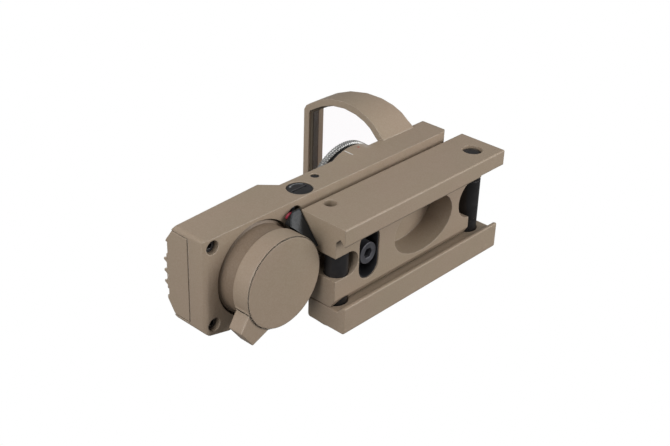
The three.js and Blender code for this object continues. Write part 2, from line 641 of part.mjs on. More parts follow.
// The row's origin is the middle of the deck that rests on the rail.
const DECK_MIDDLE_X = 47;
const DECK_MIDDLE_Y = (LIP_TIP_Y + JAW_TIP_Y) / 2;
group.position.set(-DECK_MIDDLE_X, -DECK_MIDDLE_Y, -DECK_Z);

export default group;
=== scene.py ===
import math

import bmesh
import bpy
from mathutils import Matrix, Vector


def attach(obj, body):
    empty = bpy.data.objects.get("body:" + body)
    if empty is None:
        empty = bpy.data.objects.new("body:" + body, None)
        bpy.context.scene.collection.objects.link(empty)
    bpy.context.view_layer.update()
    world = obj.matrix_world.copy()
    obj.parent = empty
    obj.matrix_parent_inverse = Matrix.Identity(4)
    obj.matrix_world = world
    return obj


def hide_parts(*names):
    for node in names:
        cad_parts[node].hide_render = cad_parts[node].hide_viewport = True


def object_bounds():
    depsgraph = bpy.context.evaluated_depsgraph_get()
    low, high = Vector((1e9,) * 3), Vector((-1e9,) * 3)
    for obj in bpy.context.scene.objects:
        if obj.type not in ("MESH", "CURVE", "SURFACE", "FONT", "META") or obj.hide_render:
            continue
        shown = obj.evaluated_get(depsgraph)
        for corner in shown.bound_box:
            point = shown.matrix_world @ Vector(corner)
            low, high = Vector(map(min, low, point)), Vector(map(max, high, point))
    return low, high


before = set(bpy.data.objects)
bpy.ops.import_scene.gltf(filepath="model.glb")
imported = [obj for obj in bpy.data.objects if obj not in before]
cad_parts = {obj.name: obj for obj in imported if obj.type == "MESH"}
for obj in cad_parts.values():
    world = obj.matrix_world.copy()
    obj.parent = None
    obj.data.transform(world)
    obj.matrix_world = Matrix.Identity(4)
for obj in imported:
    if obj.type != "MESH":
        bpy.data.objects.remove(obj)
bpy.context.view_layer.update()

# Body and lens hood. One die-cast aluminium part: bar, emitter housing, wheel boss and hood.
# It is tumbled so that its edges are eased, then sprayed with satin sand-coloured paint,
# which rubs through to a paler tone along the edges. The paler edges are also a painted
# highlight, standing in for the light that the eased edges catch.
MM = 0.001
BAR_CORNER = Vector((-47.0, -2.25, 12.9))
ROUND_WALL_ANGLE = math.radians(30)
SAND = (0.290, 0.230, 0.165, 1)
SAND_WARM = (0.305, 0.232, 0.172, 1)
SAND_RUBBED_AND_HIGHLIGHT = (0.46, 0.39, 0.31, 1)
WELD_DISTANCE = 0.002
FLAT_ANGLE = math.radians(0.8)


def at(x, y, z):
    """A point in millimetres from the bar's rear end, its centre line and its underside."""
    return (Vector((x, y, z)) + BAR_CORNER) * MM


def effect(name, inputs, outputs):
    """An empty node group with named sockets, and its input and output nodes."""
    tree = bpy.data.node_groups.new(name, "ShaderNodeTree")
    for label, kind, value in inputs:
        tree.interface.new_socket(label, in_out="INPUT", socket_type=kind).default_value = value
    for label, kind in outputs:
        tree.interface.new_socket(label, in_out="OUTPUT", socket_type=kind)
    return tree, tree.nodes.new("NodeGroupInput"), tree.nodes.new("NodeGroupOutput")


def wire(tree, *pairs):
    for source, target in pairs:
        tree.links.new(source, target)


def math_node(tree, operation, first, second):
    node = tree.nodes.new("ShaderNodeMath")
    node.operation = operation
    for socket, value in zip(node.inputs, (first, second)):
        if isinstance(value, (int, float)):
            socket.default_value = value
        else:
            tree.links.new(value, socket)
    return node.outputs[0]


def noise_node(tree, place, scale, detail):
    node = tree.nodes.new("ShaderNodeTexNoise")
    node.inputs["Detail"].default_value = detail
    tree.links.new(place, node.inputs["Vector"])
    if isinstance(scale, (int, float)):
        node.inputs["Scale"].default_value = scale
    else:
        tree.links.new(scale, node.inputs["Scale"])
    return node.outputs["Fac"]


def ranged(tree, value, low, high, to_low, to_high):
    node = tree.nodes.new("ShaderNodeMapRange")
    for label, number in (("From Min", low), ("From Max", high), ("To Min", to_low), ("To Max", to_high)):
        node.inputs[label].default_value = number
    tree.links.new(value, node.inputs["Value"])
    return node.outputs["Result"]


def mixed(tree, amount, first, second):
    """A colour between two, each a colour or a socket."""
    node = tree.nodes.new("ShaderNodeMix")
    node.data_type = "RGBA"
    tree.links.new(amount, node.inputs["Factor"])
    for socket, value in ((node.inputs[6], first), (node.inputs[7], second)):
        if isinstance(value, tuple):
            socket.default_value = value
        else:
            tree.links.new(value, socket)
    return node.outputs[2]


grain_effect, grain_in, grain_out = effect(
    "sprayed_grain",
    [("Grain Scale", "NodeSocketFloat", 2600.0), ("Mottle Scale", "NodeSocketFloat", 60.0)],
    [("Height", "NodeSocketFloat"), ("Mottle", "NodeSocketFloat"), ("Sheen", "NodeSocketFloat")],
)
grain_place = grain_effect.nodes.new("ShaderNodeTexCoord").outputs["Object"]
wire(
    grain_effect,
    (noise_node(grain_effect, grain_place, grain_in.outputs["Grain Scale"], 2), grain_out.inputs["Height"]),
    (noise_node(grain_effect, grain_place, grain_in.outputs["Mottle Scale"], 4), grain_out.inputs["Mottle"]),
    (noise_node(grain_effect, grain_place, 420.0, 3), grain_out.inputs["Sheen"]),
)

# The edge mask pales a finish along its edges: partly rubbed wear, partly painted highlight for the light
# that eased edges catch.
edge_wear_and_highlight, wear_in, wear_out = effect(
    "rubbed_and_highlit_edges",
    [("Width", "NodeSocketFloat", 0.0004), ("Patchiness", "NodeSocketFloat", 0.5)],
    [("Wear_And_Highlight", "NodeSocketFloat"), ("Rounded", "NodeSocketVector")],
)
rounding = edge_wear_and_highlight.nodes.new("ShaderNodeBevel")
rounding.samples = 4
facing = edge_wear_and_highlight.nodes.new("ShaderNodeVectorMath")
facing.operation = "DOT_PRODUCT"
wire(
    edge_wear_and_highlight,
    (wear_in.outputs["Width"], rounding.inputs["Radius"]),
    (rounding.outputs["Normal"], facing.inputs[0]),
    (rounding.outputs["Normal"], wear_out.inputs["Rounded"]),
    (edge_wear_and_highlight.nodes.new("ShaderNodeNewGeometry").outputs["Normal"], facing.inputs[1]),
)
edge_wear_and_highlight_mask = ranged(edge_wear_and_highlight, facing.outputs["Value"], 0.995, 0.86, 0, 1)
wear_place = edge_wear_and_highlight.nodes.new("ShaderNodeTexCoord").outputs["Object"]
patches = ranged(edge_wear_and_highlight, noise_node(edge_wear_and_highlight, wear_place, 240.0, 3), 0.4, 0.62, 0, 1)
keep = math_node(edge_wear_and_highlight, "MULTIPLY", patches, wear_in.outputs["Patchiness"])
steady = math_node(edge_wear_and_highlight, "SUBTRACT", 1.0, wear_in.outputs["Patchiness"])
cover = math_node(edge_wear_and_highlight, "ADD", keep, steady)
edge_wear_and_highlight.links.new(math_node(edge_wear_and_highlight, "MULTIPLY", edge_wear_and_highlight_mask, cover), wear_out.inputs["Wear_And_Highlight"])


def placed_effect(tree, group, **values):
    node = tree.nodes.new("ShaderNodeGroup")
    node.node_tree = group
    for label, number in values.items():
        node.inputs[label.replace("_", " ")].default_value = number
    return node.outputs


def new_finish(name, **constants):
    """A material with its shader's plain values set; returns it, its tree and its shader."""
    finish = bpy.data.materials.new(name)
    finish.use_nodes = True
    shader = finish.node_tree.nodes["Principled BSDF"]
    for label, number in constants.items():
        shader.inputs[label.replace("_", " ")].default_value = number
    return finish, finish.node_tree, shader


def bump(tree, shader, height, strength, depth, rounded=None):
    node = tree.nodes.new("ShaderNodeBump")
    if rounded is not None:
        tree.links.new(rounded, node.inputs["Normal"])
    node.inputs["Strength"].default_value = strength
    node.inputs["Distance"].default_value = depth
    wire(tree, (height, node.inputs["Height"]), (node.outputs["Normal"], shader.inputs["Normal"]))


def sprayed_paint(name, colour, second_colour, rubbed_and_lit, wear_and_highlight, gloss):
    finish, tree, shader = new_finish(name, Metallic=0.0)
    grain = placed_effect(tree, grain_effect, Grain_Scale=2600.0, Mottle_Scale=55.0)
    edges = placed_effect(tree, edge_wear_and_highlight, Width=0.00035, Patchiness=0.55)
    tone = mixed(tree, ranged(tree, grain["Mottle"], 0.3, 0.7, 0, 1), colour, second_colour)
    fleck = ranged(tree, grain["Height"], 0.35, 0.65, -0.012, 0.012)
    bright = tree.nodes.new("ShaderNodeBrightContrast")
    wire(tree, (tone, bright.inputs["Color"]), (fleck, bright.inputs["Bright"]))
    worn_and_lit = mixed(tree, math_node(tree, "MULTIPLY", edges["Wear_And_Highlight"], wear_and_highlight), bright.outputs["Color"], rubbed_and_lit)
    rough = ranged(tree, grain["Sheen"], 0.3, 0.7, gloss - 0.06, gloss + 0.06)
    wire(tree, (worn_and_lit, shader.inputs["Base Color"]), (rough, shader.inputs["Roughness"]))
    bump(tree, shader, grain["Height"], 0.12, 0.00003, edges["Rounded"])
    return finish


# The sand paint's strong edge paling is partly wear and partly painted highlight.
sand_paint = sprayed_paint("sand_paint", SAND, SAND_WARM, SAND_RUBBED_AND_HIGHLIGHT, 0.75, 0.43)


def cast(form, name):
    """A linked object made from a finished bmesh."""
    mesh = bpy.data.meshes.new(name)
    form.to_mesh(mesh)
    form.free()
    piece = bpy.data.objects.new(name, mesh)
    bpy.context.collection.objects.link(piece)
    return piece


def dressed(piece, finish):
    if not piece.material_slots:
        piece.data.materials.append(finish)
    for place in piece.material_slots:
        place.material = finish


def machined(node, name, ease, body, finish):
    """The node's own shape as a piece with its sharp edges eased and its round walls smooth."""
    form = bmesh.new()
    form.from_mesh(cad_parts[node].data)
    bmesh.ops.remove_doubles(form, verts=form.verts, dist=WELD_DISTANCE * MM)
    if ease:
        bmesh.ops.dissolve_limit(form, angle_limit=FLAT_ANGLE, verts=form.verts, edges=form.edges)
    for face in form.faces:
        face.smooth = True
    for edge in form.edges:
        edge.smooth = edge.calc_face_angle(0) < ROUND_WALL_ANGLE
    piece = cast(form, name)
    if ease:
        edge = piece.modifiers.new("eased_edges", "BEVEL")
        edge.width = ease * MM
        edge.segments = 2
        edge.limit_method = "ANGLE"
        edge.angle_limit = ROUND_WALL_ANGLE
        edge.use_clamp_overlap = False
        edge.harden_normals = True
        edge.loop_slide = False
    dressed(piece, finish)
    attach(piece, body)
    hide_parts(node)


machined("main_body", "cast_body", 0, "sight", sand_paint)

# Lens and its gasket. A coated plate of glass leaning back in the hood, bedded in a thin
# dark rubber strip that is let into the hood's wall. The coating throws red light back.
glass_finish, glass_tree, glass_shader = new_finish(
    "coated_glass", Metallic=0.0, IOR=1.12, Transmission_Weight=1.0,
    Specular_Tint=(1.0, 0.42, 0.40, 1), Base_Color=(0.985, 0.965, 0.975, 1),
)
smear = placed_effect(glass_tree, grain_effect, Grain_Scale=700.0, Mottle_Scale=90.0)
smeared = ranged(glass_tree, smear["Mottle"], 0.5, 0.75, 0.01, 0.05)
glass_tree.links.new(smeared, glass_shader.inputs["Roughness"])


def soft_rubber(name, colour, pale):
    finish, tree, shader = new_finish(name, Metallic=0.0, Specular_IOR_Level=0.35)
    grain = placed_effect(tree, grain_effect, Grain_Scale=3200.0, Mottle_Scale=160.0)
    patches = ranged(tree, grain["Mottle"], 0.35, 0.7, 0, 0.5)
    wire(
        tree,
        (mixed(tree, patches, colour, pale), shader.inputs["Base Color"]),
        (ranged(tree, grain["Sheen"], 0.3, 0.7, 0.62, 0.8), shader.inputs["Roughness"]),
    )
    bump(tree, shader, grain["Height"], 0.4, 0.00005)
    return finish


gasket_rubber = soft_rubber("gasket_rubber", (0.075, 0.058, 0.040, 1), (0.11, 0.09, 0.065, 1))
machined("reflex_lens", "lens_plate", 0, "sight", glass_finish)
machined("lens_gasket", "lens_bedding", 0, "sight", gasket_rubber)

# Rear cover and reticle selector. The cover is a small casting let in between the housing's
# walls; the selector slides along its top, ribbed for the thumb, painted like the body.
machined("rear_cover", "rear_cover_plate", 0.15, "sight", sand_paint)
machined("reticle_selector", "selector_slide", 0.12, "selector", sand_paint)

# Housing lid with its elevation dial and two lid screws. The lid is a painted plate; the
# dials are turned steel, blackened, with a milled coin slot and a filled direction arrow.


def blackened(name, colour, bright, gloss, wear_and_highlight):
    finish, tree, shader = new_finish(name, Metallic=0.55)
    grain = placed_effect(tree, grain_effect, Grain_Scale=1900.0, Mottle_Scale=220.0)
    edges = placed_effect(tree, edge_wear_and_highlight, Width=0.00018, Patchiness=0.5)
    lighter = tuple(2.1 * c for c in colour[:3]) + (1,)
    tone = mixed(tree, ranged(tree, grain["Mottle"], 0.35, 0.7, 0, 0.6), colour, lighter)
    worn_and_lit = mixed(tree, math_node(tree, "MULTIPLY", edges["Wear_And_Highlight"], wear_and_highlight), tone, bright)
    wire(
        tree,
        (worn_and_lit, shader.inputs["Base Color"]),
        (ranged(tree, grain["Sheen"], 0.3, 0.7, gloss - 0.08, gloss + 0.1), shader.inputs["Roughness"]),
    )
    bump(tree, shader, grain["Height"], 0.25, 0.00003)
    return finish


black_oxide = blackened("black_oxide", (0.026, 0.025, 0.026, 1), (0.30, 0.30, 0.31, 1), 0.34, 0.55)
machined("housing_lid", "lid_plate", 0.15, "sight", sand_paint)
for number in (1, 2):
    machined(f"lid_screw_{number}", f"lid_screw_head_{number}", 0.08, "sight", black_oxide)
machined("elevation_screw", "elevation_dial", 0.12, "elevation_dial", black_oxide)
machined("windage_screw", "windage_dial", 0.12, "windage_dial", black_oxide)
machined("windage_lock_screw", "windage_lock", 0.08, "sight", black_oxide)
machined("elevation_lock_screw", "elevation_lock", 0.08, "sight", black_oxide)


def filled_paint(name, colour):
    """The paint wiped into an engraved mark."""
    finish, tree, shader = new_finish(name, Metallic=0.0)
    grain = placed_effect(tree, grain_effect, Grain_Scale=2200.0, Mottle_Scale=500.0)
    dull = tuple(0.72 * c for c in colour[:3]) + (1,)
    patches = ranged(tree, grain["Mottle"], 0.35, 0.65, 0, 1)
    wire(
        tree,
        (mixed(tree, patches, colour, dull), shader.inputs["Base Color"]),
        (ranged(tree, grain["Sheen"], 0.3, 0.7, 0.45, 0.65), shader.inputs["Roughness"]),
    )
    bump(tree, shader, grain["Height"], 0.3, 0.00002)
    return finish


white_fill = filled_paint("white_fill", (0.72, 0.70, 0.66, 1))
grey_fill = filled_paint("grey_fill", (0.30, 0.31, 0.32, 1))
red_fill = filled_paint("red_fill", (0.42, 0.05, 0.05, 1))
MARK_THICKNESS = 0.03


def slab_of(name, outlines, body, finish, place):
    """Thin flat marks from closed outlines in millimetres, laid on a face by a matrix."""
    form = bmesh.new()
    for outline in outlines:
        low = [form.verts.new((u * MM, v * MM, 0)) for u, v in outline]
        high = [form.verts.new((u * MM, v * MM, MARK_THICKNESS * MM)) for u, v in outline]
        form.faces.new(low[::-1])
        form.faces.new(high)
        for i in range(len(outline)):
            j = (i + 1) % len(outline)
            form.faces.new((low[i], low[j], high[j], high[i]))
    bmesh.ops.transform(form, matrix=place, verts=form.verts)
    bmesh.ops.recalc_face_normals(form, faces=form.faces)
    piece = cast(form, name)
    dressed(piece, finish)
    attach(piece, body)


def arc_band(radius, width, start, end, steps=20):
    """The closed outline of part of a ring, angles in degrees."""
    turns = [math.radians(start + (end - start) * i / steps) for i in range(steps + 1)]
    outer = [((radius + width / 2) * math.cos(a), (radius + width / 2) * math.sin(a)) for a in turns]
    inner = [((radius - width / 2) * math.cos(a), (radius - width / 2) * math.sin(a)) for a in turns[::-1]]
    return outer + inner


def arrow_head(radius, length, half_width, angle):
    a, b = math.radians(angle), math.radians(angle + math.degrees(length / radius))
    return [
        ((radius + half_width) * math.cos(a), (radius + half_width) * math.sin(a)),
        (radius * math.cos(b), radius * math.sin(b)),
        ((radius - half_width) * math.cos(a), (radius - half_width) * math.sin(a)),
    ]


def facing_matrix(origin, u, v):
    """Lays the u, v plane of a mark on a face; its normal is u x v."""
    n = u.cross(v)
    return Matrix.Translation(origin) @ Matrix((u, v, n)).transposed().to_4x4()


X, Y, Z = Vector((1, 0, 0)), Vector((0, 1, 0)), Vector((0, 0, 1))
ELEVATION_X = 18
LID_FACE_Z = 13.27
ELEVATION_FACE_Z = 13.5
WINDAGE_FACE = (33.6, -12.3, 3.8)
DIAL_ARROW = [arc_band(2.4, 0.16, 25, 115), arrow_head(2.4, 0.6, 0.35, 115)]
for name, body, place in (
    ("elevation_arrow", "elevation_dial", facing_matrix(at(ELEVATION_X, 0, ELEVATION_FACE_Z), X, Y)),
    ("windage_arrow", "windage_dial", facing_matrix(at(*WINDAGE_FACE), X, Z)),
):
    slab_of(name, DIAL_ARROW, body, grey_fill, place)


def ray_ticks(radius, length, width, angles):
    ticks = []
    for angle in angles:
        c, s = math.cos(math.radians(angle)), math.sin(math.radians(angle))
        far, side = radius + length, width / 2
        corners = ((radius, -side), (far, -side), (far, side), (radius, side))
        ticks.append([(u * c - v * s, u * s + v * c) for u, v in corners])
    return ticks


lid_ticks = ray_ticks(3.8, 0.9, 0.16, range(0, 360, 30))
on_lid = facing_matrix(at(ELEVATION_X, 0, LID_FACE_Z), X, Y)
slab_of("lid_click_marks", lid_ticks, "sight", white_fill, on_lid)

# Emitter train. Under the lid a steel carriage slides sideways for windage and carries the
# moulded emitter block with its red lamp; the mask strip in front picks the dot's pattern.


def bare_steel(name, colour, gloss, stretch):
    """Plain turned or rolled steel with fine tool lines along one direction."""
    finish, tree, shader = new_finish(name, Metallic=1.0)
    place = tree.nodes.new("ShaderNodeTexCoord").outputs["Object"]
    lines_place = tree.nodes.new("ShaderNodeMapping")
    lines_place.inputs["Scale"].default_value = stretch
    wire(tree, (place, lines_place.inputs["Vector"]))
    lines = noise_node(tree, lines_place.outputs["Vector"], 900.0, 3)
    grain = placed_effect(tree, grain_effect, Grain_Scale=2400.0, Mottle_Scale=180.0)
    dark = tuple(0.6 * c for c in colour[:3]) + (1,)
    patches = ranged(tree, grain["Mottle"], 0.4, 0.75, 0, 0.6)
    wire(
        tree,
        (mixed(tree, patches, colour, dark), shader.inputs["Base Color"]),
        (ranged(tree, lines, 0.3, 0.7, gloss - 0.06, gloss + 0.12), shader.inputs["Roughness"]),
    )
    bump(tree, shader, lines, 0.3, 0.00002)
    return finish


steel = bare_steel("plain_steel", (0.56, 0.56, 0.58, 1), 0.3, (1, 1, 12))
brass = bare_steel("spring_brass", (0.62, 0.46, 0.20, 1), 0.3, (1, 12, 1))


def moulded(name, colour, gloss):
    finish, tree, shader = new_finish(name, Metallic=0.0)
    grain = placed_effect(tree, grain_effect, Grain_Scale=1500.0, Mottle_Scale=150.0)
    pale = tuple(min(1.0, 1.5 * c) for c in colour[:3]) + (1,)
    patches = ranged(tree, grain["Mottle"], 0.4, 0.75, 0, 0.5)
    wire(
        tree,
        (mixed(tree, patches, colour, pale), shader.inputs["Base Color"]),
        (ranged(tree, grain["Sheen"], 0.3, 0.7, gloss - 0.05, gloss + 0.08), shader.inputs["Roughness"]),
    )
    bump(tree, shader, grain["Height"], 0.15, 0.00003)
    return finish


black_moulding = moulded("black_moulding", (0.014, 0.014, 0.016, 1), 0.5)
red_lamp = moulded("red_lamp", (0.5, 0.03, 0.03, 1), 0.15)
for node, finish in (
    ("windage_carriage", steel), ("emitter_block", black_moulding), ("led_emitter", red_lamp),
    ("reticle_strip", black_moulding), ("click_ball", steel), ("click_spring", steel),
):
    dressed(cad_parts[node], finish)

# Brightness wheel. A straight-knurled aluminium ring under a painted cap with stepped
# numbers, held by a slotted axle screw; a brass wiper under it sweeps the circuit board.
WHEEL_X = 58.9
WHEEL_TEETH = 110
WHEEL_RADIUS = 12.95
TOOTH_DEPTH = 0.28
WHEEL_HOLE = 9.6
RING_LOW, RING_HIGH = 11.7, 13.5
RING_PROFILE = [(0.0, -0.35), (0.22, 0.0), (0.85, 0.0), (1.0, -0.12), (1.15, 0.0), (1.58, 0.0), (1.8, -0.35)]


def knurled_ring(name):
    steps = WHEEL_TEETH * 4
    tooth = (0.0, 0.35, 1.0, 0.35)
    form = bmesh.new()
    loops = []
    for rise, inset in RING_PROFILE:
        loop = []
        for i in range(steps):
            a = math.tau * i / steps
            r = WHEEL_RADIUS + inset - TOOTH_DEPTH * tooth[i % 4]
            loop.append(form.verts.new(at(WHEEL_X + r * math.cos(a), r * math.sin(a), RING_LOW + rise)))
        loops.append(loop)
    for z in (RING_HIGH, RING_LOW):
        loops.append([
            form.verts.new(at(WHEEL_X + WHEEL_HOLE * math.cos(math.tau * i / steps),
                              WHEEL_HOLE * math.sin(math.tau * i / steps), z))
            for i in range(steps)
        ])
    for near, far in zip(loops, loops[1:] + loops[:1]):
        for i in range(steps):
            j = (i + 1) % steps
            form.faces.new((near[i], near[j], far[j], far[i]))
    bmesh.ops.recalc_face_normals(form, faces=form.faces)
    return cast(form, name)


knurl_metal = bare_steel("knurl_metal", (0.48, 0.48, 0.47, 1), 0.34, (1, 1, 3))
ring = knurled_ring("knurled_wheel")
dressed(ring, knurl_metal)
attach(ring, "wheel")
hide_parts("brightness_wheel")
machined("wheel_cap", "wheel_cap_disc", 0.2, "wheel", sand_paint)
machined("wheel_axle", "wheel_axle_screw", 0.1, "wheel", steel)
dressed(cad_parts["wheel_wiper"], brass)
board_green = moulded("board_green", (0.02, 0.12, 0.05, 1), 0.3)
dressed(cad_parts["circuit_board"], board_green)


def turned_ring(name, centre, profile, sides):
    """A closed ring: the profile's radius and height points swept round a Z line."""
    form = bmesh.new()
    turns = [math.tau * i / sides for i in range(sides)]
    loops = [
        [form.verts.new(centre + Vector((r * math.cos(a), r * math.sin(a), z)) * MM) for a in turns]
        for r, z in profile
    ]
    for near, far in zip(loops, loops[1:] + loops[:1]):
        for i in range(sides):
            j = (i + 1) % sides
            form.faces.new((near[i], near[j], far[j], far[i])).smooth = True
    bmesh.ops.recalc_face_normals(form, faces=form.faces)
    return cast(form, name)


# A black ring in the gap between the boss and the wheel: painted shade, filling the gap where it lies in
# shade.
SHADE_RING_RADIUS = 11.7
SHADE_RING_Z = 11.15
SHADE_RING_HALF_WIDTH, SHADE_RING_HALF_HEIGHT = 0.588, 0.504
SHADE_RING_TURNS = [math.tau * i / 12 for i in range(12)]
SHADE_RING_PROFILE = [
    (SHADE_RING_RADIUS + SHADE_RING_HALF_WIDTH * math.cos(a), SHADE_RING_HALF_HEIGHT * math.sin(a)) for a in SHADE_RING_TURNS
]
shade_ring = turned_ring("wheel_gap_shade_ring", at(WHEEL_X, 0, SHADE_RING_Z), SHADE_RING_PROFILE, 96)
black_seal_and_gap_shade = soft_rubber("black_seal_and_gap_shade", (0.012, 0.012, 0.012, 1), (0.025, 0.025, 0.025, 1))
dressed(shade_ring, black_seal_and_gap_shade)
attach(shade_ring, "wheel")

# The boss carries a white index line that the wheel's numbers are read against, with two
# small red dots beside it.
BOSS_RADIUS = 12.9
INDEX_TURN = 257


def on_boss(turn, z):
    a = math.radians(turn)
    outward = Vector((math.cos(a), math.sin(a), 0))
    return facing_matrix(at(WHEEL_X, 0, z) + outward * BOSS_RADIUS * MM, Z.cross(outward), Z)


INDEX_LINE = [(-0.12, -1.3), (0.12, -1.3), (0.12, 1.7), (-0.12, 1.7)]
slab_of("index_line", [INDEX_LINE], "sight", white_fill, on_boss(INDEX_TURN, 8.3))
DOT_RADIUS = 0.28
DOT_TURNS = [math.tau * i / 16 for i in range(16)]
DOT = [(DOT_RADIUS * math.cos(a), DOT_RADIUS * math.sin(a)) for a in DOT_TURNS]
for dot, turn in enumerate((274, 227)):
    slab_of(f"index_dot_{dot}", [DOT], "sight", red_fill, on_boss(turn, 8.6))

# Eleven steps 30 degrees apart; step 5 meets the index line in the middle of the wheel's
# travel. Each is a tick with its number inside it, and the off step is red.
STEPS_ON_WHEEL = 11
STEP_TURN = 30
MIDDLE_STEP = 5
CAP_FACE_Z = 14.4
NUMBER_RADIUS = 7.8
NUMBER_HEIGHT = 2.5
NUMBER_THICKNESS = 0.015
step_turns = [INDEX_TURN + (step - MIDDLE_STEP) * STEP_TURN for step in range(STEPS_ON_WHEEL)]
wheel_ticks = ray_ticks(10.1, 0.9, 0.2, step_turns)
on_cap = facing_matrix(at(WHEEL_X, 0, CAP_FACE_Z), X, Y)
slab_of("wheel_ticks", wheel_ticks, "wheel", white_fill, on_cap)
for step, step_turn in enumerate(step_turns):
    angle = math.radians(step_turn)
    shape = bpy.data.curves.new(f"wheel_number_{step}", "FONT")
    shape.body = str(step)
    shape.size = NUMBER_HEIGHT * MM
    shape.extrude = NUMBER_THICKNESS * MM
    shape.align_x = "CENTER"
    shape.align_y = "CENTER"
    number = bpy.data.objects.new(f"wheel_number_{step}", shape)
    bpy.context.collection.objects.link(number)
    outward = Vector((math.cos(angle), math.sin(angle), 0))
    centre = at(WHEEL_X, 0, CAP_FACE_Z + 0.02) + outward * NUMBER_RADIUS * MM
    number.matrix_world = facing_matrix(centre, Z.cross(outward) * -1, outward)
    dressed(number, red_fill if step == 0 else white_fill)
    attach(number, "wheel")

# Battery compartment. A turned drum screwed up into the recess holds the coin cell against
# its springs; the cap twists off by its side tab. The drum's paint is darker than the cap's:
# painted shade for the recess that it sits in.
DRUM_SAND_SHADED = (0.185, 0.138, 0.096, 1)
DRUM_SAND_WARM_SHADED = (0.195, 0.142, 0.1, 1)
drum_shaded_paint = sprayed_paint("drum_shaded_paint", DRUM_SAND_SHADED, DRUM_SAND_WARM_SHADED, SAND_RUBBED_AND_HIGHLIGHT, 0.5, 0.5)
machined("battery_drum", "cell_drum", 0.15, "sight", drum_shaded_paint)
machined("battery_cap", "twist_cap", 0.25, "cap", sand_paint)
machined("cap_gasket", "cap_seal_ring", 0.08, "cap_seal", black_seal_and_gap_shade)
for node, finish in (("coin_cell", steel), ("cell_spring", brass), ("cap_contact", brass)):
    dressed(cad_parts[node], finish)

# Supply lead. The wires from the drum to the board pass through a glossy black rubber boot
# pressed between the drum and the mount; one red wire shows where it crosses into the bore.
# The boot's black also covers the shaded gap between the drum and the mount: partly the boot,
# partly painted shade.
black_boot_and_gap_shade = moulded("black_boot_and_gap_shade", (0.007, 0.009, 0.011, 1), 0.22)
red_wire = moulded("red_wire", (0.23, 0.012, 0.03, 1), 0.3)
machined("lead_boot", "lead_boot_and_gap_shade", 0.25, "sight", black_boot_and_gap_shade)
machined("supply_wire", "red_supply_wire", 0, "sight", red_wire)

# Rail mount. A slab milled from extruded bar and screwed up under the body: fixed lip on the
# right, lightening pocket and screw slots from below, end notches that show the bolts.
mount_sand = sprayed_paint("mount_sand_paint", SAND, SAND_WARM, SAND_RUBBED_AND_HIGHLIGHT, 0.45, 0.46)
machined("rail_mount", "rail_mount_slab", 0, "sight", mount_sand)
# A black lining in the mount screw's slot: painted shade, where the slot lies in shade.
machined("slot_liner", "screw_slot_shade_lining", 0, "sight", black_moulding)
machined("clamp_jaw", "clamp_jaw_bar", 0.3, "jaw", mount_sand)
screw_grey = blackened("screw_grey", (0.085, 0.085, 0.095, 1), (0.5, 0.5, 0.52, 1), 0.36, 0.6)
machined("mount_screw", "mount_cap_screw", 0.15, "sight", screw_grey)
machined("mount_dowel", "mount_dowel_pin", 0.15, "sight", steel)
machined("housing_screw_right", "housing_screw_a", 0.1, "sight", black_oxide)
machined("housing_screw_left", "housing_screw_b", 0.1, "sight", black_oxide)

# Cross bolts. Blackened socket bolts with rolled threads: the thread bites the fixed wall,
# the plain shank crosses the channel and the head sits in the jaw's counterbore.
BOLT_Z = -9.6
THREAD_RADIUS = 2.35
SHANK_RADIUS = 2.9
BOLT_SIDES = 48
THREAD_PITCH = 0.8
THREAD_DEPTH = 0.32
THREAD_START, THREAD_END = -9.8, -3.6
THREAD_RINGS = 96
CREST_ANGLE = math.radians(38)
PLAIN, THREADED, HEXAGONAL = 0, 1, 2
HEAD_SEAT, HEAD_TOP = 14.75, 18.2
SOCKET_RADIUS, SOCKET_DEPTH = 2.1, 2.0


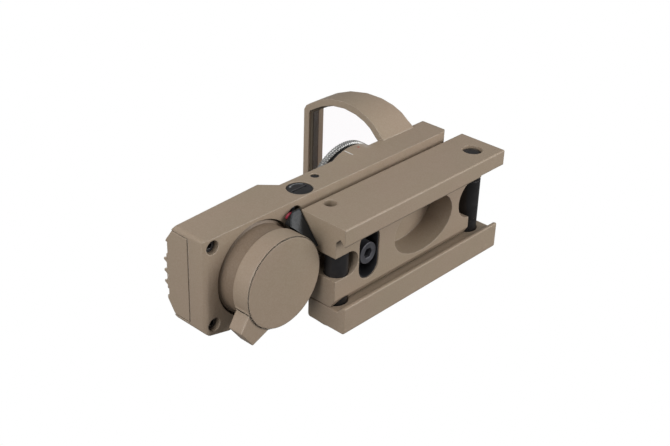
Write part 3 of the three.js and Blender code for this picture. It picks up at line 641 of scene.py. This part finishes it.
def cross_bolt(name, x, head_radius):
    """Rings along the bolt from its threaded tip to the bottom of its hexagon socket."""
    rings = [(THREAD_START - 0.1, 0.0, PLAIN), (THREAD_START - 0.1, THREAD_RADIUS - 0.5, PLAIN)]
    for i in range(THREAD_RINGS + 1):
        y = THREAD_START + (THREAD_END - THREAD_START) * i / THREAD_RINGS
        rings.append((y, THREAD_RADIUS, THREADED))
    rings += [
        (-3.4, THREAD_RADIUS - 0.45, PLAIN),
        (-2.7, THREAD_RADIUS - 0.45, PLAIN),
        (-2.5, SHANK_RADIUS - 0.2, PLAIN),
        (-2.3, SHANK_RADIUS, PLAIN),
        (HEAD_SEAT, SHANK_RADIUS, PLAIN),
        (HEAD_SEAT, head_radius - 0.15, PLAIN),
        (HEAD_SEAT + 0.15, head_radius, PLAIN),
        (HEAD_TOP - 0.4, head_radius, PLAIN),
        (HEAD_TOP - 0.1, head_radius - 0.15, PLAIN),
        (HEAD_TOP, head_radius - 0.4, PLAIN),
        (HEAD_TOP, SOCKET_RADIUS + 0.25, PLAIN),
        (HEAD_TOP - 0.15, SOCKET_RADIUS, HEXAGONAL),
        (HEAD_TOP - SOCKET_DEPTH, SOCKET_RADIUS, HEXAGONAL),
        (HEAD_TOP - SOCKET_DEPTH - 0.5, 0.0, PLAIN),
    ]
    form = bmesh.new()
    loops = []
    for y, radius, kind in rings:
        if radius == 0.0:
            loops.append([form.verts.new(at(x, y, BOLT_Z))] * BOLT_SIDES)
            continue
        loop = []
        for i in range(BOLT_SIDES):
            a = math.tau * i / BOLT_SIDES
            r = radius
            if kind == THREADED:
                phase = (y / THREAD_PITCH + i / BOLT_SIDES) % 1.0
                r -= THREAD_DEPTH * (1 - abs(2 * phase - 1))
            elif kind == HEXAGONAL:
                r *= math.cos(math.pi / 6) / math.cos((a % (math.pi / 3)) - math.pi / 6)
            loop.append(form.verts.new(at(x + r * math.cos(a), y, BOLT_Z + r * math.sin(a))))
        loops.append(loop)
    for near, far in zip(loops, loops[1:]):
        for i in range(BOLT_SIDES):
            j = (i + 1) % BOLT_SIDES
            corners = list(dict.fromkeys((near[i], near[j], far[j], far[i])))
            form.faces.new(corners)
    bmesh.ops.recalc_face_normals(form, faces=form.faces)
    for face in form.faces:
        face.smooth = True
    for edge in form.edges:
        edge.smooth = edge.calc_face_angle(0) < CREST_ANGLE
    return cast(form, name)


for name, x, head_radius, node, body in (
    ("rear_cross_bolt", 32.7, 3.5, "rear_clamp_bolt", "rear_bolt"),
    ("front_cross_bolt", 84.1, 4.0, "front_clamp_bolt", "front_bolt"),
):
    bolt = cross_bolt(name, x, head_radius)
    dressed(bolt, black_oxide)
    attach(bolt, body)
    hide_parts(node)

# Floor. A plain pale sheet under the sight, seen only from above, so that a view from
# below shows the clamp and not the sheet's back.
floor_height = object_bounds()[0].z
bpy.ops.mesh.primitive_plane_add(size=3.0, location=(0, 0, floor_height))
floor = bpy.context.object
floor.name = "floor_sheet"
floor_finish, floor_tree, floor_shader = new_finish("floor_sheet", Roughness=0.9, Specular_IOR_Level=0.1)
floor_shader.inputs["Base Color"].default_value = (0.86, 0.86, 0.85, 1)
clear = floor_tree.nodes.new("ShaderNodeBsdfTransparent")
choice = floor_tree.nodes.new("ShaderNodeMixShader")
rays = floor_tree.nodes.new("ShaderNodeLightPath")
seen = math_node(floor_tree, "MAXIMUM", rays.outputs["Is Camera Ray"], rays.outputs["Is Transmission Ray"])
back = floor_tree.nodes.new("ShaderNodeNewGeometry").outputs["Backfacing"]
front_only = math_node(floor_tree, "MULTIPLY", seen, math_node(floor_tree, "SUBTRACT", 1.0, back))
wire(
    floor_tree,
    (front_only, choice.inputs["Fac"]),
    (clear.outputs[0], choice.inputs[1]),
    (floor_shader.outputs[0], choice.inputs[2]),
    (choice.outputs[0], floor_tree.nodes["Material Output"].inputs["Surface"]),
)
dressed(floor, floor_finish)

# Light. A white room for fill, brighter on the sight's right, and four soft boxes: a strong
# one from below for the clamp, others from behind and above, and a weak one from the right.
bpy.context.scene.view_settings.view_transform = "Standard"
room = bpy.data.worlds.new("white_room")
bpy.context.scene.world = room
room.use_nodes = True
wall = room.node_tree.nodes["Background"]
wall.inputs["Color"].default_value = (1, 1, 1, 1)
room_rays = room.node_tree.nodes.new("ShaderNodeLightPath")
in_view = room_rays.outputs["Is Camera Ray"]
through_lens = room_rays.outputs["Is Transmission Ray"]
room_seen = math_node(room.node_tree, "MAXIMUM", in_view, through_lens)
ROOM_BRIGHT, ROOM_DIM = 0.30, 0.10
side = room.node_tree.nodes.new("ShaderNodeTexCoord").outputs["Generated"]
height = room.node_tree.nodes.new("ShaderNodeVectorMath")
height.operation = "DOT_PRODUCT"
height.inputs[1].default_value = (-0.25, -0.80, 0.45)
room.node_tree.links.new(side, height.inputs[0])
fill = ranged(room.node_tree, height.outputs["Value"], -0.9, 0.9, ROOM_DIM, ROOM_BRIGHT)
strength = room.node_tree.nodes.new("ShaderNodeMix")
strength.inputs["B"].default_value = 1.0
wire(
    room.node_tree,
    (room_seen, strength.inputs["Factor"]),
    (fill, strength.inputs["A"]),
    (strength.outputs["Result"], wall.inputs["Strength"]),
)

BOX_DISTANCE = 0.45


def soft_box(name, direction, size, power):
    lamp = bpy.data.lights.new(name, "AREA")
    lamp.size = size
    lamp.energy = power
    holder = bpy.data.objects.new(name, lamp)
    bpy.context.collection.objects.link(holder)
    holder.location = direction.normalized() * BOX_DISTANCE
    holder.rotation_mode = "QUATERNION"
    holder.rotation_quaternion = direction.to_track_quat("Z", "Y")


soft_box("side_box", Vector((-0.15, -1.0, -0.15)), 0.35, 0.46)
soft_box("clamp_box", Vector((0.5, -0.35, -0.9)), 0.30, 1.9)
soft_box("rear_box", Vector((-1.0, -0.45, -0.05)), 0.30, 1.4)
soft_box("top_box", Vector((0.1, 0.15, 1.0)), 0.40, 1.3)

# Camera. It looks up from behind and below the sight's right side, with the sight's right
# side towards the top of the picture.
CAMERA_PLACE = Vector((-0.18768, -0.14195, -0.15276))
VIEW_RIGHT = Vector((0.6831, -0.0300, -0.7297))
VIEW_UP = Vector((0.3400, -0.8712, 0.3540))
VIEW_BACK = Vector((-0.6464, -0.4899, -0.5849))
eye = bpy.data.cameras.new("camera")
eye.lens = 61.88
eye.sensor_width = 36.0
eye.clip_start = 0.005
eye_holder = bpy.data.objects.new("camera", eye)
bpy.context.collection.objects.link(eye_holder)
turn = Matrix((VIEW_RIGHT, VIEW_UP, VIEW_BACK)).transposed()
eye_holder.matrix_world = Matrix.Translation(CAMERA_PLACE) @ turn.to_4x4()
bpy.context.scene.camera = eye_holder
